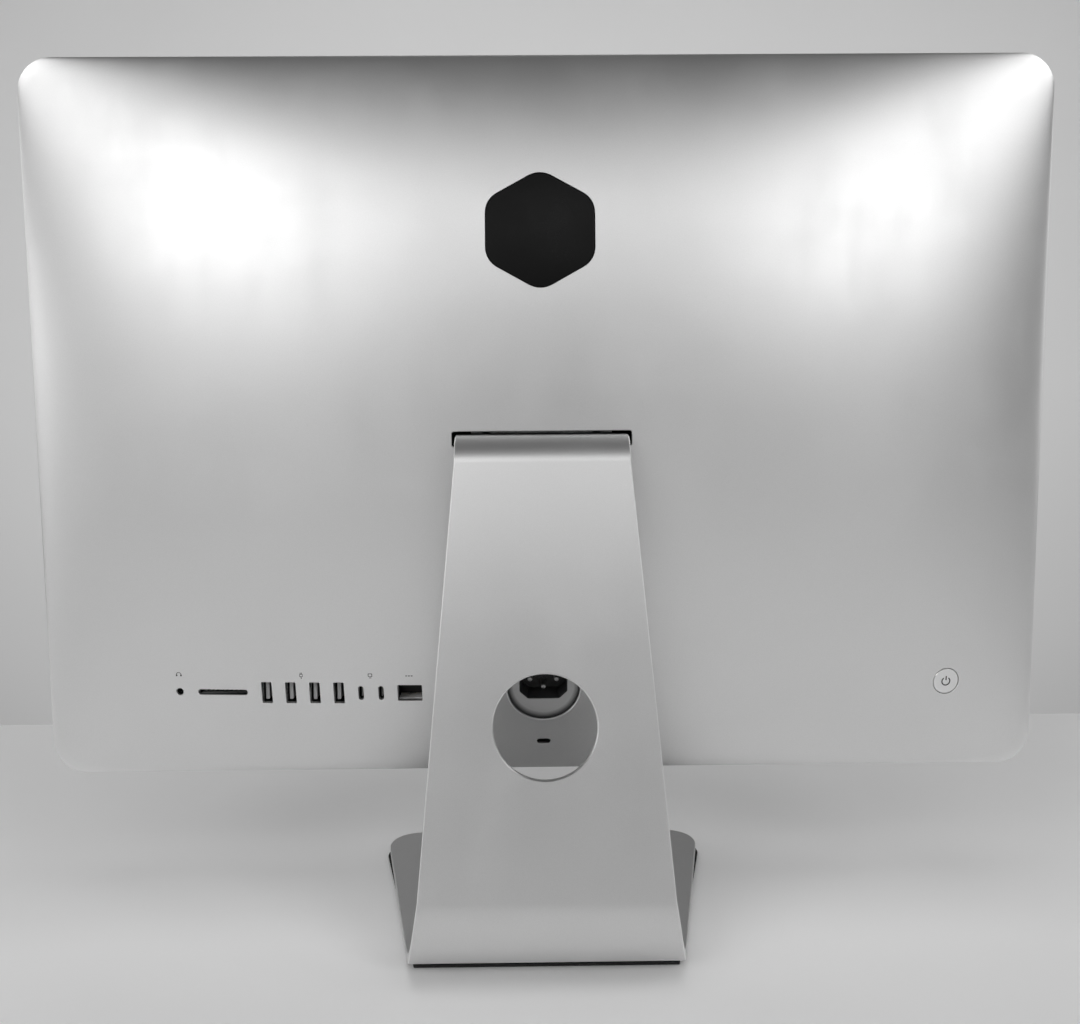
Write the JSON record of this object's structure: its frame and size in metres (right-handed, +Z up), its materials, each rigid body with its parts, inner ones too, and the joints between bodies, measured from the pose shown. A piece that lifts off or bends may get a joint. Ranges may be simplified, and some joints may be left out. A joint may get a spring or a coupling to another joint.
{
  "type": "all in one pc",
  "caption": "All-in-one desktop computer: thin domed aluminium display body with rear sockets, tilting on one bent aluminium stand with a cable hole.",
  "frame": {"origin": "middle of the footprint, on the desk under the foot pad", "axes": "+Z up, the screen faces -Y, the rear sockets face +Y, +X is left for someone looking at the sockets"},
  "size_m": [0.528, 0.175, 0.45],
  "materials": {
    "aluminium": "satin bead-blasted anodised",
    "steel": "plated",
    "spring_steel": "bright drawn",
    "copper": "bright",
    "brass": "bright",
    "black_glass": "polished, black ink behind",
    "panel": "matt",
    "foam": "matt",
    "rubber": "matt",
    "black_plastic": "fine grain",
    "grey_plastic": "fine grain",
    "board": "solder mask",
    "chip": "moulded"
  },
  "bodies": {
    "stand": {"stand_plate": "aluminium", "foot_pad": "rubber", "hinge_bracket": "steel", "hinge_shaft": "steel", "stand_screw_left": "steel", "stand_screw_right": "steel", "torsion_spring_left": "spring_steel", "torsion_spring_right": "spring_steel"},
    "display": {"rear_housing": "aluminium", "chin_plate": "aluminium", "hinge_block_left": "steel", "hinge_block_right": "steel", "lock_plate": "steel", "card_reader": "steel", "usb_a_port_1": "steel", "usb_a_port_2": "steel", "usb_a_port_3": "steel", "usb_a_port_4": "steel", "usb_c_port_1": "steel", "usb_c_port_2": "steel", "ethernet_port": "steel", "fan_motor": "steel", "clock_cell": "steel", "storage_drive": "steel", "hinge_washer_left": "spring_steel", "hinge_washer_right": "spring_steel", "heatsink": "copper", "inlet_pin_line": "brass", "inlet_pin_neutral": "brass", "inlet_pin_earth": "brass", "cover_glass": "black_glass", "radio_window": "black_glass", "lcd_panel": "panel", "glass_adhesive": "foam", "mains_lead": "foam", "board_lead": "foam", "speaker_left": "black_plastic", "speaker_right": "black_plastic", "exhaust_grille": "black_plastic", "speaker_grille_left": "black_plastic", "intake_grille": "black_plastic", "speaker_grille_right": "black_plastic", "headphone_jack": "black_plastic", "inlet_socket": "black_plastic", "power_switch": "black_plastic", "fan_housing": "black_plastic", "drive_bracket": "black_plastic", "antenna": "grey_plastic", "logic_board": "board", "memory_module_1": "board", "memory_module_2": "board", "wireless_card": "board", "power_supply_board": "board", "camera_module": "chip", "microphone": "chip", "processor": "chip", "power_transformer": "chip", "power_capacitor": "chip"},
    "power_button": {"power_button": "aluminium"},
    "fan_impeller": {"fan_impeller": "grey_plastic"}
  },
  "joints": [
    {"name": "display_tilt", "type": "hinge", "parent": "stand", "child": "display", "pos_m": [0, 0.02139, 0.292], "axis": [-1, 0, 0], "range_deg": [-5, 25]},
    {"name": "power_button_press", "type": "slide", "parent": "display", "child": "power_button", "axis": [0.1217, -0.9859, 0.1148], "range_m": [0, 0.0005], "stiffness_N_per_m": 1500},
    {"name": "fan_spin", "type": "hinge", "parent": "display", "child": "fan_impeller", "pos_m": [0, 0.01, 0.191], "axis": [0, 1, 0], "continuous": true}
  ]
}
